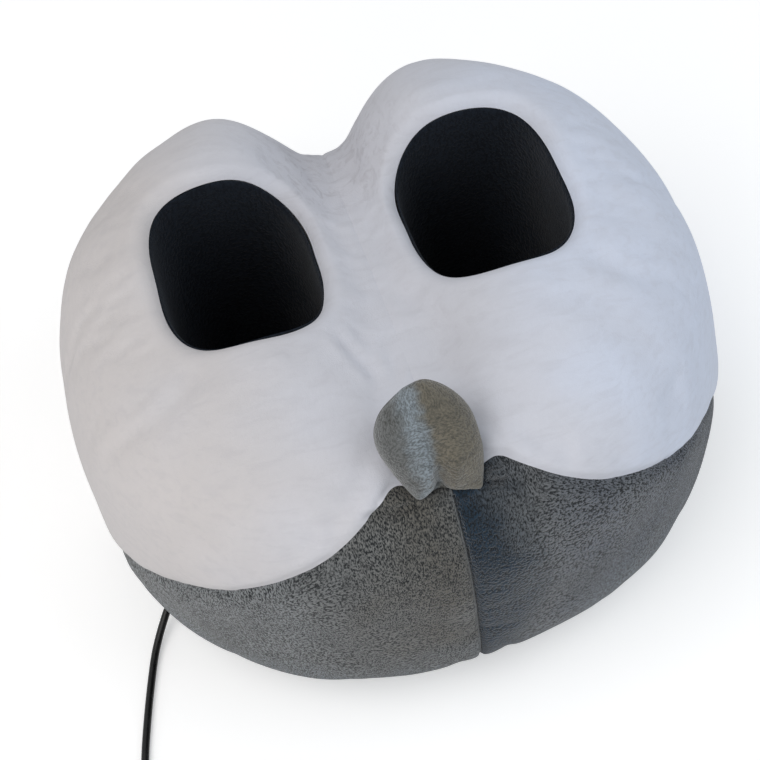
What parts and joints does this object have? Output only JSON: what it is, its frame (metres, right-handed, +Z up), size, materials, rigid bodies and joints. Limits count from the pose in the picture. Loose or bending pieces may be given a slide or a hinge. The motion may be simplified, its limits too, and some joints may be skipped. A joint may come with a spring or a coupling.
{
  "type": "electric foot warmer",
  "caption": "Plush two-lobed foot warmer with foot pockets, stuffed tail, heating pad, zip, and a cord with controller and plug.",
  "frame": {"origin": "on the floor, under the middle of the body's bounding box, without the cord", "axes": "+Z up, -Y towards the tail and the grey back, +X to the right seen from the tail's side"},
  "size_m": [0.4335, 0.5134, 0.2537],
  "materials": {
    "white_plush": "short soft nap",
    "grey_plush": "short soft nap",
    "dark_lining": "short fleece",
    "filling": "loose fibre",
    "base_cloth": "dotted non-slip weave",
    "foam": "matte foam",
    "pad_felt": "felt",
    "wire_cover": "satin",
    "black_plastic": "satin",
    "soft_plastic": "glossy vinyl",
    "zip_tape": "woven",
    "zip_teeth": "satin",
    "plated_metal": "bright plating",
    "lamp_lens": "clear",
    "circuit_board": "solder mask",
    "gilt": "plated"
  },
  "bodies": {
    "warmer": {"cheek_cover_left": "white_plush", "cheek_cover_right": "white_plush", "back_cover_left": "grey_plush", "back_cover_right": "grey_plush", "filling_left": "filling", "filling_right": "filling", "pocket_lining_left": "dark_lining", "pocket_lining_right": "dark_lining", "base_panel": "base_cloth", "foam_sole": "foam", "heater_felt_lower": "pad_felt", "heater_felt_upper": "pad_felt", "heating_wire": "wire_cover", "thermal_cutout": "black_plastic", "heater_lead": "soft_plastic", "zip_tape_lower": "zip_tape", "zip_tape_upper": "zip_tape", "zip_teeth_lower": "zip_teeth", "zip_teeth_upper": "zip_teeth", "zip_stop_open": "plated_metal", "zip_stop_shut": "plated_metal", "cord_boot": "soft_plastic", "cord_lead": "soft_plastic", "cord_link": "soft_plastic", "cord_coil": "soft_plastic", "cord_tail": "soft_plastic", "coil_tie": "base_cloth", "controller_bottom": "black_plastic", "controller_top": "black_plastic", "controller_board": "circuit_board", "board_switch": "plated_metal", "board_lamp_1": "lamp_lens", "board_lamp_2": "lamp_lens", "board_lamp_3": "lamp_lens", "lamp_window_1": "lamp_lens", "lamp_window_2": "lamp_lens", "lamp_window_3": "lamp_lens", "controller_boot_inlet": "soft_plastic", "controller_boot_outlet": "soft_plastic", "controller_screw_1": "plated_metal", "controller_screw_2": "plated_metal", "plug_boot": "soft_plastic", "plug_grip": "soft_plastic", "plug_shell": "plated_metal", "plug_tongue": "black_plastic", "plug_contact_1": "gilt", "plug_contact_2": "gilt", "plug_contact_3": "gilt", "plug_contact_4": "gilt"},
    "tail": {"tail_root_roll": "grey_plush", "tail_front": "grey_plush", "tail_back": "grey_plush", "tail_filling": "filling"},
    "zip_slider": {"zip_slider": "plated_metal"},
    "zip_puller": {"zip_puller": "plated_metal"},
    "controller_button": {"controller_button": "soft_plastic"}
  },
  "joints": [
    {"name": "tail_bend", "type": "hinge", "parent": "warmer", "child": "tail", "pos_m": [-0.005, -0.15186, 0.198], "axis": [1, 0, 0], "range_deg": [0, 65], "stiffness_Nm_per_rad": 0.02},
    {"name": "zip_slide", "type": "slide", "parent": "warmer", "child": "zip_slider", "axis": [-1, 0, 0], "range_m": [0, 0.111], "deforming": ["zip_teeth_lower", "zip_teeth_upper"]},
    {"name": "puller_swing", "type": "hinge", "parent": "zip_slider", "child": "zip_puller", "pos_m": [0.0559, 0.17161, 0.0266], "axis": [0, 0.4169, 0.909], "range_deg": [-62, 62]},
    {"name": "button_press", "type": "slide", "parent": "warmer", "child": "controller_button", "axis": [0, 0, -1], "range_m": [0, 0.0008], "stiffness_N_per_m": 500}
  ]
}
